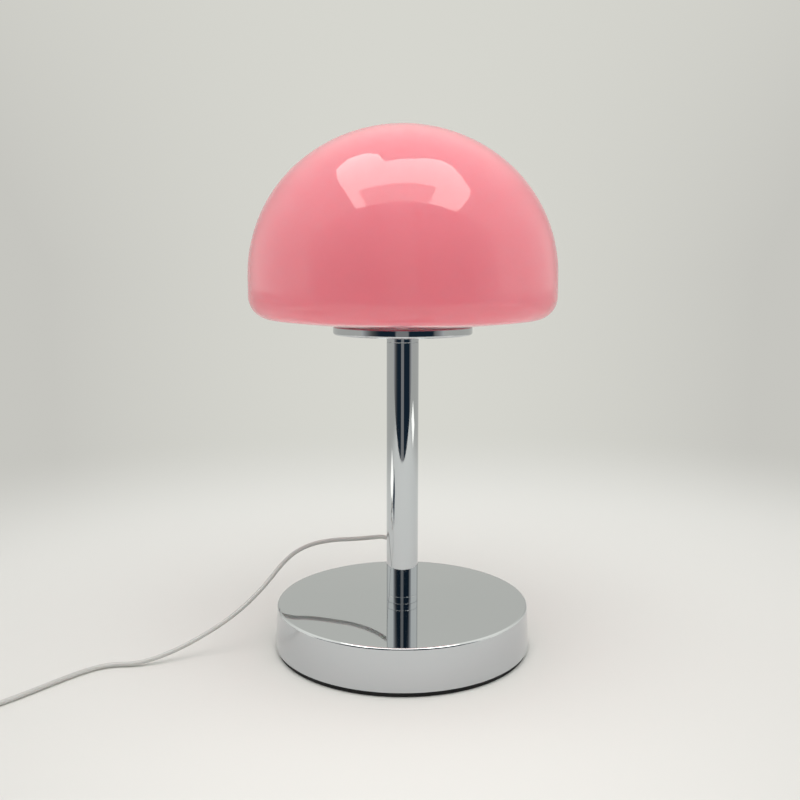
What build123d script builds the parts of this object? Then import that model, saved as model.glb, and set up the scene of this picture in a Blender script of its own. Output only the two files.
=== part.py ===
# Mushroom table lamp: an opal glass shade on a chrome stem and a weighted round base,
# with a thin low-voltage cord, an in-line rocker switch and a flat plug.
# Millimetres. Origin on the table at the middle of the base, +Z up, viewer on the -Y side.
import os
from math import cos, pi, radians, sin, sqrt, tan

from build123d import *

os.makedirs("parts", exist_ok=True)

# ---------- driving dimensions ----------

fit_gap = 0.05            # turned spigots, threads and pins, on the radius
seat_gap = 0.3            # between curved faces that lie side by side
edge_break = 0.3          # small chamfer on turned edges

# base
pad_thickness = 3.2
pad_inset = 1.5           # pad edge inside the cover's lower edge
cover_radius = 86.0       # at the lower edge
cover_draft = 1.5         # how much smaller the top is, on the radius
cover_height = 27.3
cover_wall = 1.0
cover_round = 1.3         # round on the top outer edge
bottom_thickness = 1.6
weight_radius = 64.0
weight_thickness = 14.0
weight_edge = 1.5         # chamfer on the lower edge
weight_foot_radius = 6.0
weight_foot_circle = 52.0
foot_count = 3
foot_angle = 30.0
base_screw_radius = 2.0
base_screw_head = 3.4
base_screw_length = 9.0

# stem
stem_radius = 10.6
stem_wall = 1.0
stem_length = 171.3       # bright tube between the two end collars
foot_collar = 4.7
top_collar = 5.0
spigot_length = 14.0
bolt_radius = 4.0         # M8 bolt up into the stem
bolt_grip = 11.0          # thread of the bolt inside the stem foot
bolt_head_flats = 13.0
bolt_head_height = 5.3
bolt_washer_radius = 10.0
bolt_washer_thickness = 1.4

# shade plate and threaded tube
plate_radius = 45.75
plate_thickness = 5.9
plate_round = 1.6         # lower edge
plate_bevel = 1.0         # upper edge
rim_height = 5.0          # ring that the glass neck drops over
rim_wall = 1.6
nipple_radius = 5.0       # M10 threaded tube
nipple_bore = 3.3
nut_flats = 14.0
nut_height = 4.0
washer_radius = 9.0
washer_thickness = 1.2
gasket_thickness = 0.5

# glass shade
glass_radius = 100.0
glass_wall = 3.2
dome_height = 96.0        # above the straight band
crown_turn = 53.0         # angle up the side where the flatter crown starts, degrees
band_height = 12.4
rim_round = 15.0          # where the side turns under
under_angle = 9.0         # slope that the underside reaches at the rim, degrees
neck_radius = 38.0
neck_round = 1.0
neck_play = 1.2           # between the neck and the locating ring

# light engine
holder_radius = 28.0
holder_wall = 1.8
holder_floor = 2.0
holder_depth = 19.0
board_thickness = 1.6
board_play = 0.3
chip_length = 3.5
chip_width = 2.8
chip_height = 0.7
chip_rings = ((8.0, 6), (17.0, 12))     # ring radius and number of light chips
board_post_radius = 3.0
board_post_circle = 12.5
board_post_count = 3
board_post_angle = 90.0
board_screw_radius = 1.25
board_screw_head = 2.3
board_screw_head_height = 1.5
board_screw_head_taper = 20.0
diffuser_height = 15.0
diffuser_wall = 1.4
diffuser_round = 9.0
wire_diameter = 1.2
wire_gap = 0.12           # between the two wires where they leave the sheath
wire_spread = 5.0

# cord
cord_diameter = 3.0
exit_height = 68.0
exit_angle = 118.0        # behind the stem, a little to the viewer's left
grommet_hole = 3.0
grommet_flange = 4.2
grommet_flange_thickness = 1.4
grommet_lip = 3.5
grommet_lip_thickness = 1.2
grommet_nose = 3.6        # taper that guides the cord out
nose_tip_wall = 0.9
nose_reach = 9.5          # straight start of the free cord
inside_bend = 6.0
tie_wall = 1.2
tie_width = 2.5
tie_head_length = 3.6
tie_head_width = 4.2
sheath_above_tie = 0.6

# in-line switch
switch_heading = 106.0    # direction that the cord runs through it
switch_length = 46.0
switch_width = 20.0
switch_corner = 6.0
switch_split = 6.0        # height of the parting line, and of the cord
switch_height = 12.5
switch_wall = 1.6
switch_top_round = 2.2
rocker_radius = 8.4
rocker_width = 9.6
rocker_tilt = 8.0
rocker_rise = 1.4         # top ends above the pressing hollow
rocker_proud = 0.4        # lower end above the case
rocker_pivot = 9.4        # pivot height above the table
pin_radius = 0.75
pin_ear = 1.8
boss_radius = 2.4
boss_reach = 15.5
boss_root = 0.6           # how far a screw boss runs into the side wall
case_screw_radius = 0.9
case_screw_head = 1.8
contact_thickness = 0.6
contact_width = 3.0
contact_split = 2.0       # between the two contacts
contact_play = 0.8        # left for the rocker's stroke
switch_run_in = 14.5      # straight cord in front of the case
switch_run_out = 11.0
stub_reach = 5.0          # sheath inside the case wall
core_offset = 0.4         # through wire, from the cord's middle
core_straight = 4.0
core_shift = 3.0

# plug
plug_heading = 270.0
plug_run_in = 12.0        # straight cord in front of the plug
plug_nose_length = 9.0
plug_nose_radius = 3.5
plug_grip_length = 22.0
plug_grip_width = 15.0
plug_grip_height = 8.0
plug_grip_round = 2.4
plug_shell_width = 12.0
plug_shell_height = 4.5
plug_shell_wall = 0.4
plug_shell_length = 12.0  # in front of the grip
plug_shell_root = 5.0     # inside the grip
tongue_thickness = 1.8
plug_contact_count = 4
plug_contact_pitch = 2.3
plug_contact_width = 1.0
plug_contact_thickness = 0.2
plug_contact_inset = 1.5  # from the mouth of the shell

# coil of spare cord
coil_turns_per_layer = 2.0
coil_layers = 4
coil_inner_radius = 14.2  # to the middle of the innermost turn
coil_pitch = 4.0          # from turn to turn and from layer to layer
coil_start_angle = 180.0
coil_centre = (-341.0, -50.0)
coil_run_in = 14.0        # straight cord in front of the first turn
coil_run_out = 9.0
band_thickness = 0.6
band_width = 7.0
band_angle = 300.0
band_play = 0.2           # between the strap and the lowest turn

# ---------- levels and radii that follow ----------

cord_radius = cord_diameter / 2
cover_top_radius = cover_radius - cover_draft
base_top = pad_thickness + cover_height
weight_top = base_top - cover_wall
weight_bottom = weight_top - weight_thickness
bottom_top = pad_thickness + bottom_thickness
stem_bottom = base_top + foot_collar
stem_top = stem_bottom + stem_length
stem_bore = stem_radius - stem_wall
plate_bottom = stem_top + top_collar
plate_top = plate_bottom + plate_thickness
glass_bottom = plate_top + gasket_thickness
holder_seat = plate_top + holder_floor
washer_top = holder_seat + washer_thickness
nut_top = washer_top + nut_height
holder_top = plate_top + holder_depth
board_bottom = holder_top - board_thickness
rim_radius = neck_radius - neck_play
nipple_top = nut_top + edge_break
bolt_seat = weight_bottom - bolt_washer_thickness


def around(radius, angle, height):
    return (radius * cos(radians(angle)), radius * sin(radians(angle)), height)


def finish(builder, label):
    builder.part.label = label
    export_step(builder.part, f"parts/{label}.step")


# ---------- base ----------

with BuildPart() as foot_pad:
    with BuildSketch(Plane.XY):
        Circle(cover_radius - pad_inset)
    extrude(amount=pad_thickness)
    chamfer(foot_pad.edges().group_by(Axis.Z)[0], length=edge_break)
finish(foot_pad, "foot_pad")

# pressed cover with a slight draft and a rounded shoulder
with BuildPart() as base_cover:
    with BuildSketch(Plane.XZ) as cover_section:
        with BuildLine():
            Polyline(
                (bolt_radius + fit_gap, base_top),
                (cover_top_radius, base_top),
                (cover_radius, pad_thickness),
                (cover_radius - cover_wall, pad_thickness),
                (cover_top_radius - cover_wall, weight_top),
                (bolt_radius + fit_gap, weight_top),
                close=True,
            )
        make_face()
        shoulder = cover_section.vertices().group_by(Axis.Y)[-1].sort_by(Axis.X)[-1]
        fillet(shoulder, radius=cover_round)
    revolve(axis=Axis.Z)
finish(base_cover, "base_cover")

# cast weight: a disc on three feet, clamped under the cover's top
with BuildPart() as base_weight:
    with BuildSketch(Plane.XY.offset(weight_bottom)):
        Circle(weight_radius)
    extrude(amount=weight_thickness)
    chamfer(base_weight.edges().group_by(Axis.Z)[0], length=weight_edge)
    with BuildSketch(Plane.XY.offset(bottom_top)):
        with PolarLocations(weight_foot_circle, foot_count, start_angle=foot_angle):
            Circle(weight_foot_radius)
    extrude(amount=weight_bottom - bottom_top)
    with BuildSketch(Plane.XY.offset(weight_bottom)):
        Circle(bolt_radius + fit_gap)
    extrude(amount=weight_thickness, mode=Mode.SUBTRACT)
    with BuildSketch(Plane.XY.offset(bottom_top)):
        with PolarLocations(weight_foot_circle, foot_count, start_angle=foot_angle):
            Circle(base_screw_radius + fit_gap)
    extrude(amount=base_screw_length, mode=Mode.SUBTRACT)
finish(base_weight, "base_weight")

with BuildPart() as base_plate:
    with BuildSketch(Plane.XY.offset(pad_thickness)):
        Circle(cover_radius - cover_wall - seat_gap)
    extrude(amount=bottom_thickness)
    with BuildSketch(Plane.XY.offset(pad_thickness)):
        with PolarLocations(weight_foot_circle, foot_count, start_angle=foot_angle):
            Circle(base_screw_radius + fit_gap)
    extrude(amount=bottom_thickness, mode=Mode.SUBTRACT)
    with BuildSketch(Plane.XY.offset(pad_thickness)):
        with PolarLocations(weight_foot_circle, foot_count, start_angle=foot_angle):
            Circle(base_screw_head + fit_gap)
    extrude(amount=base_screw_head - base_screw_radius, taper=45, mode=Mode.SUBTRACT)
finish(base_plate, "base_plate")

with BuildPart() as base_screws:
    with BuildSketch(Plane.XY.offset(pad_thickness)):
        with PolarLocations(weight_foot_circle, foot_count, start_angle=foot_angle):
            Circle(base_screw_head)
    extrude(amount=base_screw_head - base_screw_radius, taper=45)
    with BuildSketch(Plane.XY.offset(pad_thickness)):
        with PolarLocations(weight_foot_circle, foot_count, start_angle=foot_angle):
            Circle(base_screw_radius)
    extrude(amount=base_screw_length)
finish(base_screws, "base_screws")

with BuildPart() as base_washer:
    with BuildSketch(Plane.XY.offset(bolt_seat)):
        Circle(bolt_washer_radius)
        Circle(bolt_radius + fit_gap, mode=Mode.SUBTRACT)
    extrude(amount=bolt_washer_thickness)
finish(base_washer, "base_washer")

with BuildPart() as base_bolt:
    with BuildSketch(Plane.XY.offset(bolt_seat - bolt_head_height)):
        RegularPolygon(radius=bolt_head_flats / 2, side_count=6, major_radius=False)
    extrude(amount=bolt_head_height)
    chamfer(base_bolt.edges().group_by(Axis.Z)[0], length=edge_break)
    with BuildSketch(Plane.XY.offset(bolt_seat)):
        Circle(bolt_radius)
    extrude(amount=base_top + bolt_grip - bolt_seat)
    chamfer(base_bolt.edges().group_by(Axis.Z)[-1], length=2 * edge_break)
finish(base_bolt, "base_bolt")

# ---------- stem ----------


def end_collar(collar_base, collar_height, spigot_up, bore):
    # turned collar of the stem's own diameter with a spigot into the stem
    spigot_base = collar_base + collar_height if spigot_up else collar_base - spigot_length
    with BuildPart() as collar:
        with BuildSketch(Plane.XY.offset(collar_base)):
            Circle(stem_radius)
        extrude(amount=collar_height)
        chamfer(collar.edges().filter_by(GeomType.CIRCLE), length=edge_break)
        with BuildSketch(Plane.XY.offset(spigot_base)):
            Circle(stem_bore - fit_gap)
        extrude(amount=spigot_length)
        with BuildSketch(Plane.XY.offset(min(collar_base, spigot_base))):
            Circle(bore)
        extrude(amount=collar_height + spigot_length, mode=Mode.SUBTRACT)
    return collar


stem_foot = end_collar(base_top, foot_collar, True, bolt_radius + fit_gap)
finish(stem_foot, "stem_foot")

top_ferrule = end_collar(stem_top, top_collar, False, nipple_radius + fit_gap)
finish(top_ferrule, "top_ferrule")

out_of_stem = (cos(radians(exit_angle)), sin(radians(exit_angle)), 0)
exit_plane = Plane(origin=(0, 0, exit_height), x_dir=(0, 0, 1), z_dir=out_of_stem)

with BuildPart() as stem_tube:
    with BuildSketch(Plane.XY.offset(stem_bottom)):
        Circle(stem_radius)
    extrude(amount=stem_length)
    chamfer(stem_tube.edges().filter_by(GeomType.CIRCLE), length=edge_break)
    with BuildSketch(Plane.XY.offset(stem_bottom)):
        Circle(stem_bore)
    extrude(amount=stem_length, mode=Mode.SUBTRACT)
    with BuildSketch(exit_plane):
        Circle(grommet_hole)
    extrude(amount=stem_radius + edge_break, mode=Mode.SUBTRACT)
finish(stem_tube, "stem_tube")

# ---------- cord grommet ----------

flange_top = stem_radius + grommet_flange_thickness
nose_tip = flange_top + grommet_nose
nose_tip_radius = cord_radius + nose_tip_wall
lip_top = sqrt((stem_bore - fit_gap) ** 2 - grommet_lip**2) - fit_gap
lip_base = lip_top - grommet_lip_thickness

with BuildPart() as cord_grommet:
    with BuildSketch(exit_plane):
        Circle(grommet_flange)
    extrude(amount=flange_top)
    with BuildSketch(Plane.XY.offset(exit_height - 2 * grommet_flange)):
        Circle(stem_radius + fit_gap)
    extrude(amount=4 * grommet_flange, mode=Mode.SUBTRACT)
    with BuildSketch(exit_plane.offset(flange_top)):
        Circle(grommet_hole)
    with BuildSketch(exit_plane.offset(nose_tip)):
        Circle(nose_tip_radius)
    loft()
    with BuildSketch(exit_plane.offset(lip_base)):
        Circle(grommet_hole - fit_gap)
    extrude(amount=flange_top - lip_base)
    with BuildSketch(exit_plane.offset(lip_base)):
        Circle(grommet_lip)
    extrude(amount=grommet_lip_thickness)
    with BuildSketch(exit_plane.offset(lip_base)):
        Circle(cord_radius + fit_gap)
    extrude(amount=nose_tip - lip_base, mode=Mode.SUBTRACT)
finish(cord_grommet, "cord_grommet")

# ---------- shade plate and what clamps it ----------

with BuildPart() as shade_plate:
    with BuildSketch(Plane.XY.offset(plate_bottom)):
        Circle(plate_radius)
    extrude(amount=plate_thickness)
    fillet(shade_plate.edges().group_by(Axis.Z)[0], radius=plate_round)
    chamfer(shade_plate.edges().group_by(Axis.Z)[-1], length=plate_bevel)
    with BuildSketch(Plane.XY.offset(plate_top)):
        Circle(rim_radius)
        Circle(rim_radius - rim_wall, mode=Mode.SUBTRACT)
    extrude(amount=rim_height)
    chamfer(shade_plate.edges().group_by(Axis.Z)[-1], length=edge_break)
    with BuildSketch(Plane.XY.offset(plate_bottom)):
        Circle(nipple_radius + fit_gap)
    extrude(amount=plate_thickness, mode=Mode.SUBTRACT)
finish(shade_plate, "shade_plate")

with BuildPart() as top_nipple:
    with BuildSketch(Plane.XY.offset(stem_top - spigot_length)):
        Circle(nipple_radius)
        Circle(nipple_bore, mode=Mode.SUBTRACT)
    extrude(amount=nipple_top - stem_top + spigot_length)
    chamfer(top_nipple.edges().group_by(Axis.Z)[-1], length=edge_break)
finish(top_nipple, "top_nipple")

with BuildPart() as top_washer:
    with BuildSketch(Plane.XY.offset(holder_seat)):
        Circle(washer_radius)
        Circle(nipple_radius + fit_gap, mode=Mode.SUBTRACT)
    extrude(amount=washer_thickness)
finish(top_washer, "top_washer")

with BuildPart() as top_nut:
    with BuildSketch(Plane.XY.offset(washer_top)):
        RegularPolygon(radius=nut_flats / 2, side_count=6, major_radius=False)
        Circle(nipple_radius + fit_gap, mode=Mode.SUBTRACT)
    extrude(amount=nut_height)
finish(top_nut, "top_nut")

with BuildPart() as shade_gasket:
    with BuildSketch(Plane.XY.offset(plate_top)):
        Circle(plate_radius - plate_bevel - edge_break)
        Circle(rim_radius + seat_gap, mode=Mode.SUBTRACT)
    extrude(amount=gasket_thickness)
finish(shade_gasket, "shade_gasket")

# ---------- glass shade ----------

corner_x = glass_radius - rim_round
under_turn = radians(under_angle)
under_end = corner_x + rim_round * sin(under_turn)
under_radius = (under_end - neck_radius) / sin(under_turn)
under_lift = under_radius * (1 - cos(under_turn))
corner_z = glass_bottom + under_lift + rim_round * cos(under_turn)
dome_base = corner_z + band_height
glass_top = dome_base + dome_height
crown_sine = sin(radians(crown_turn))
crown_cosine = cos(radians(crown_turn))
centre_shift = (glass_radius - dome_height) / (crown_sine + crown_cosine - 1)
side_x = centre_shift * crown_cosine
side_radius = glass_radius - side_x
crown_radius = dome_height + centre_shift * crown_sine
crown_z = glass_top - crown_radius


def glass_profile(inset):
    # neck to apex, drawn inset from the outer surface
    flare = under_radius - inset
    corner = rim_round - inset
    under = CenterArc((neck_radius, glass_bottom + under_radius), flare, -90, under_angle)
    turn = CenterArc((corner_x, corner_z), corner, under_angle - 90, 90 - under_angle)
    band = Line(turn @ 1, (glass_radius - inset, dome_base))
    side = CenterArc((side_x, dome_base), side_radius - inset, 0, crown_turn)
    crown = CenterArc((0, crown_z), crown_radius - inset, crown_turn, 90 - crown_turn)
    return under, turn, band, side, crown


with BuildPart() as glass_shade:
    with BuildSketch(Plane.XZ) as glass_section:
        with BuildLine():
            outer = glass_profile(0)
            inner = glass_profile(glass_wall)
            Line(outer[0] @ 0, inner[0] @ 0)
            Line(outer[-1] @ 1, inner[-1] @ 1)
        make_face()
        neck_edge = [v for v in glass_section.vertices() if abs(v.X - neck_radius) < 0.01]
        fillet(neck_edge, radius=neck_round)
    revolve(axis=Axis.Z)
finish(glass_shade, "glass_shade")

# ---------- light engine ----------

with BuildPart() as led_holder:
    with BuildSketch(Plane.XY.offset(plate_top)):
        Circle(holder_radius)
    extrude(amount=holder_depth)
    with BuildSketch(Plane.XY.offset(holder_seat)):
        Circle(holder_radius - holder_wall)
    extrude(amount=holder_depth - holder_floor, mode=Mode.SUBTRACT)
    with BuildSketch(Plane.XY.offset(holder_seat)):
        with PolarLocations(board_post_circle, board_post_count, start_angle=board_post_angle):
            Circle(board_post_radius)
    extrude(amount=board_bottom - holder_seat)
    with BuildSketch(Plane.XY.offset(plate_top)):
        Circle(nipple_radius + fit_gap)
    extrude(amount=holder_floor, mode=Mode.SUBTRACT)
    with BuildSketch(Plane.XY.offset(holder_seat)):
        with PolarLocations(board_post_circle, board_post_count, start_angle=board_post_angle):
            Circle(board_screw_radius)
    extrude(amount=board_bottom - holder_seat, mode=Mode.SUBTRACT)
finish(led_holder, "led_holder")

board_radius = holder_radius - holder_wall - board_play

with BuildPart() as led_board:
    with BuildSketch(Plane.XY.offset(board_bottom)):
        Circle(board_radius)
        with PolarLocations(board_post_circle, board_post_count, start_angle=board_post_angle):
            Circle(board_screw_radius + fit_gap, mode=Mode.SUBTRACT)
    extrude(amount=board_thickness)
finish(led_board, "led_board")

with BuildPart() as led_chips:
    with BuildSketch(Plane.XY.offset(holder_top)):
        for ring_radius, chip_count in chip_rings:
            with PolarLocations(ring_radius, chip_count):
                Rectangle(chip_width, chip_length)
    extrude(amount=chip_height)
finish(led_chips, "led_chips")

with BuildPart() as board_screws:
    with BuildSketch(Plane.XY.offset(holder_seat + edge_break)):
        with PolarLocations(board_post_circle, board_post_count, start_angle=board_post_angle):
            Circle(board_screw_radius)
    extrude(amount=holder_top - holder_seat - edge_break)
    with BuildSketch(Plane.XY.offset(holder_top)):
        with PolarLocations(board_post_circle, board_post_count, start_angle=board_post_angle):
            Circle(board_screw_head)
    extrude(amount=board_screw_head_height, taper=board_screw_head_taper)
finish(board_screws, "board_screws")

with BuildPart() as led_diffuser:
    with BuildSketch(Plane.XY.offset(holder_top)):
        Circle(holder_radius)
    extrude(amount=diffuser_height)
    fillet(led_diffuser.edges().group_by(Axis.Z)[-1], radius=diffuser_round)
    offset(amount=-diffuser_wall, openings=led_diffuser.faces().sort_by(Axis.Z)[0])
finish(led_diffuser, "led_diffuser")

# ---------- cord held inside the lamp ----------


def corner_radii(points):
    # each arc takes 0.45 of the shorter run beside its corner
    radii = []
    for before, corner, after in zip(points, points[1:], points[2:]):
        into = Vector(*corner) - Vector(*before)
        out = Vector(*after) - Vector(*corner)
        half_turn = radians(into.get_angle(out)) / 2
        radii.append(0.45 * min(into.length, out.length) / tan(half_turn))
    return radii


def round_tube(points, diameter, bends):
    # round section along straight runs joined by tangent arcs
    with BuildPart() as tube:
        with BuildLine() as route:
            FilletPolyline(*points, radius=bends)
        with BuildSketch(Plane(origin=route.line @ 0, z_dir=route.line % 0)):
            Circle(diameter / 2)
        sweep(path=route.wire())
    return tube


tie_base = nipple_top + edge_break
sheath_end = tie_base + tie_width + sheath_above_tie
nose_mouth = around(nose_tip, exit_angle, exit_height)

cord_inside = round_tube(
    [nose_mouth, (0, 0, exit_height), (0, 0, sheath_end)], cord_diameter, inside_bend
)
finish(cord_inside, "cord_inside")

# cable tie that keeps the cord from being pulled back through the threaded tube
tie_middle = cord_radius + fit_gap + tie_wall / 2

with BuildPart() as cord_tie:
    with BuildSketch(Plane.XY.offset(tie_base)):
        Circle(cord_radius + fit_gap + tie_wall)
        Circle(cord_radius + fit_gap, mode=Mode.SUBTRACT)
    extrude(amount=tie_width)
    with BuildSketch(Plane.XY.offset(tie_base)):
        with Locations((tie_middle + tie_head_length / 2, 0)):
            Rectangle(tie_head_length, tie_head_width)
        Circle(tie_middle, mode=Mode.SUBTRACT)
    extrude(amount=tie_width)
finish(cord_tie, "cord_tie")


def board_wire(side):
    # from the cut end of the sheath out and up to the underside of the board
    inner = side * (wire_diameter + wire_gap) / 2
    outer = side * wire_spread
    middle = (sheath_end + board_bottom) / 2
    return [(inner, 0, sheath_end), (inner, 0, middle), (outer, 0, middle), (outer, 0, board_bottom)]


with BuildPart() as led_wires:
    for side in (-1, 1):
        wire_route = board_wire(side)
        add(round_tube(wire_route, wire_diameter, corner_radii(wire_route)).part)
finish(led_wires, "led_wires")

# ---------- cord route ----------
# The seen stretch follows the photographed line: out behind the stem, down to the table
# in one slack curve, then along the table to the viewer's left. The rest is put away.

switch_entry = (-290.5, -81.0, switch_split)
lead_bends = [
    around(nose_tip + nose_reach, exit_angle, exit_height),
    (-20.0, 29.0, 65.5),
    (-34.0, 34.5, 62.5),
    (-50.5, 37.5, 61.0),
    (-67.0, 36.0, 58.0),
    (-81.0, 22.5, 53.0),
    (-95.0, 2.5, 37.5),
    (-111.0, -12.0, 24.5),
    (-130.0, -23.0, 14.0),
    (-150.0, -35.5, 7.0),
    (-170.0, -46.0, 3.5),
    (-188.0, -46.0, 3.5),
    (-202.0, -55.5, 3.0),
    (-217.0, -76.5, 3.0),
    (-231.0, -97.0, 3.5),
    (-244.5, -110.0, 4.0),
    (-261.0, -114.0, 4.5),
    (-276.5, -108.0, 5.0),
]


def free_cord(label, points):
    radii = corner_radii(points)
    cord = round_tube(points, cord_diameter, radii)
    length = cord.part.volume / (pi * cord_radius**2)
    with BuildLine() as route:
        FilletPolyline(*points, radius=radii)
    print(label, "radii", [round(radius, 1) for radius in radii])
    print(label, "length", round(route.wire().length, 1), "volume over section", round(length, 1))
    finish(cord, label)
    return route.wire().length


def ahead(point, heading, reach, rise=0.0):
    return (
        point[0] + reach * cos(radians(heading)),
        point[1] + reach * sin(radians(heading)),
        point[2] + rise,
    )


last_bend = ahead(switch_entry, switch_heading, -switch_run_in)
lead_length = free_cord(
    "cord_lead", [nose_mouth, *lead_bends, last_bend, switch_entry]
)

# spare cord: four layers of loops that spiral in and out again at a steady rate

coil_turns = coil_turns_per_layer * coil_layers
coil_base = band_thickness + band_play + cord_radius
quarter = 0.25


def coil_point(turn):
    layer = turn / coil_turns_per_layer
    whole = min(int(layer), coil_layers - 1)
    share = layer - whole
    inward = whole % 2 == 0
    spread = (1 - share if inward else share) * coil_turns_per_layer * coil_pitch
    radius = coil_inner_radius + spread
    # a climb takes the quarter turn on each side of a reversal
    nearest = round(layer)
    if 0 < nearest < coil_layers:
        climb = (turn - nearest * coil_turns_per_layer + quarter) / (2 * quarter)
        climb = min(1.0, max(0.0, climb))
        level = nearest - 1 + climb * climb * (3 - 2 * climb)
    else:
        level = whole
    angle = radians(coil_start_angle + 360 * turn)
    return Vector(
        coil_centre[0] + radius * cos(angle),
        coil_centre[1] + radius * sin(angle),
        coil_base + level * coil_pitch,
    )


def coil_direction(turn):
    step = 0.002
    return (coil_point(turn + step) - coil_point(turn - step)).normalized()


def biarc(start, start_way, end, end_way):
    # two tangent arcs with equal reach from both ends
    chord = end - start
    ways = start_way + end_way
    bend = 2 * (1 - start_way.dot(end_way))
    along = chord.dot(ways)
    reach = (sqrt(along**2 + bend * chord.dot(chord)) - along) / bend
    middle = (start + end + (start_way - end_way) * reach) * 0.5
    middle_way = (chord - ways * reach).normalized()
    TangentArc(start, middle, tangent=start_way)
    TangentArc(middle, end, tangent=middle_way)


coil_first = coil_point(0)
coil_first_way = coil_direction(0)
coil_last = coil_point(coil_turns)
coil_last_way = coil_direction(coil_turns)
coil_entry = coil_first - coil_first_way * cord_diameter
coil_leaving = coil_last + coil_last_way * cord_diameter
quarters = round(coil_turns / quarter)

with BuildPart() as cord_coil:
    with BuildLine() as coil_route:
        Line(coil_entry, coil_first)
        point = coil_first
        way = coil_first_way
        for index in range(1, quarters + 1):
            next_point = coil_point(index * quarter)
            next_way = coil_direction(index * quarter)
            biarc(point, way, next_point, next_way)
            point = next_point
            way = next_way
        Line(coil_last, coil_leaving)
    with BuildSketch(Plane(origin=coil_entry, z_dir=coil_first_way)):
        Circle(cord_radius)
    sweep(path=coil_route.wire())
finish(cord_coil, "cord_coil")

coil_wire = coil_route.wire()
coil_length = coil_wire.length
sample_count = 2400
samples = [coil_wire @ (index / sample_count) for index in range(sample_count + 1)]
half_a_turn = int(0.5 * sample_count / coil_turns)
gap = min(
    (samples[first] - samples[second]).length
    for first in range(0, sample_count, 3)
    for second in range(first + half_a_turn, sample_count + 1)
)
print("cord_coil length", round(coil_length, 1), "least gap to itself", round(gap - cord_diameter, 2))
print(
    "cord_coil volume over section",
    round(cord_coil.part.volume / (pi * cord_radius**2), 1),
)

# soft strap round the coil's bundle of turns, a slotted loop that lies under and over it
coil_outer_radius = coil_inner_radius + coil_turns_per_layer * coil_pitch
band_inside = coil_inner_radius - cord_radius - seat_gap
band_outside = coil_outer_radius + cord_radius + seat_gap
band_top = coil_base + (coil_layers - 1) * coil_pitch + cord_radius + seat_gap
band_way = (cos(radians(band_angle)), sin(radians(band_angle)), 0)
band_plane = Plane(
    origin=(coil_centre[0], coil_centre[1], 0),
    x_dir=band_way,
    z_dir=(band_way[1], -band_way[0], 0),
)

with BuildPart() as coil_band:
    with BuildSketch(band_plane):
        with Locations(((band_inside + band_outside) / 2, (band_top + band_thickness) / 2)):
            RectangleRounded(
                band_outside - band_inside + 2 * band_thickness,
                band_top + band_thickness,
                cord_radius,
            )
        with Locations(((band_inside + band_outside) / 2, (band_top + band_thickness) / 2)):
            RectangleRounded(
                band_outside - band_inside,
                band_top - band_thickness,
                cord_radius - band_thickness,
                mode=Mode.SUBTRACT,
            )
    extrude(amount=band_width / 2, both=True)
finish(coil_band, "coil_band")

# from the switch round to the coil's lowest turn
switch_exit = ahead(switch_entry, switch_heading, switch_length)
link_start = ahead(switch_exit, switch_heading, switch_run_out)
link_end = tuple(coil_entry - coil_first_way * coil_run_in)
link_bends = [
    link_start,
    (-313.0, -12.0, 4.5),
    (-325.0, -1.5, coil_base),
    (-341.0, -0.5, coil_base),
    (-355.0, -10.5, coil_base),
    link_end,
]
link_length = free_cord("cord_link", [switch_exit, *link_bends, tuple(coil_entry)])

# from the coil's highest turn down to the plug on the table
plug_level = plug_grip_height / 2
tail_start = tuple(coil_leaving + coil_last_way * coil_run_out)
plug_mouth = (-367.0, -101.5, plug_level)
tail_bends = [
    tail_start,
    (-364.5, -76.0, 10.2),
    ahead(plug_mouth, plug_heading, -plug_run_in),
]
tail_length = free_cord("cord_tail", [tuple(coil_leaving), *tail_bends, plug_mouth])
whole_cord = lead_length + switch_length + link_length + coil_length + tail_length
print("whole free cord", round(whole_cord, 1))

# ---------- in-line switch ----------

along_switch = Vector(cos(radians(switch_heading)), sin(radians(switch_heading)), 0)
right_of_switch = Vector(along_switch.Y, -along_switch.X, 0)
switch_middle = Vector(*ahead(switch_entry, switch_heading, switch_length / 2, -switch_split))
switch_plane = Plane(origin=switch_middle, x_dir=along_switch, z_dir=(0, 0, 1))
across_plane = Plane(
    origin=switch_middle + Vector(0, 0, switch_split), x_dir=right_of_switch, z_dir=along_switch
)
side_plane = Plane(origin=switch_middle, x_dir=along_switch, z_dir=right_of_switch)

case_inner_length = switch_length - 2 * switch_wall
case_inner_width = switch_width - 2 * switch_wall
case_inner_round = switch_corner - switch_wall
boss_side = case_inner_width / 2 + boss_root - boss_radius
boss_spots = [(boss_reach, boss_side), (-boss_reach, -boss_side)]
upper_ceiling = switch_height - switch_wall
window_length = 2 * (rocker_radius + seat_gap)
window_width = rocker_width + 2 * seat_gap
ear_width = 2 * pin_radius + 2 * pin_ear
ear_thickness = (case_inner_width - window_width) / 2

with BuildPart() as switch_lower_shell:
    with BuildSketch(switch_plane):
        RectangleRounded(switch_length, switch_width, switch_corner)
    extrude(amount=switch_split)
    fillet(switch_lower_shell.edges().group_by(Axis.Z)[0], radius=switch_wall / 2)
    with BuildSketch(switch_plane.offset(switch_wall)):
        RectangleRounded(case_inner_length, case_inner_width, case_inner_round)
        with Locations(*boss_spots):
            Circle(boss_radius, mode=Mode.SUBTRACT)
    extrude(amount=switch_split - switch_wall, mode=Mode.SUBTRACT)
    with BuildSketch(switch_plane):
        with Locations(*boss_spots):
            Circle(case_screw_radius + fit_gap)
    extrude(amount=switch_split, mode=Mode.SUBTRACT)
    with BuildSketch(switch_plane):
        with Locations(*boss_spots):
            Circle(case_screw_head + fit_gap)
    extrude(amount=switch_wall, mode=Mode.SUBTRACT)
    with BuildSketch(across_plane):
        Circle(cord_radius + fit_gap)
    extrude(amount=switch_length / 2, both=True, mode=Mode.SUBTRACT)
finish(switch_lower_shell, "switch_lower_shell")

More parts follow.
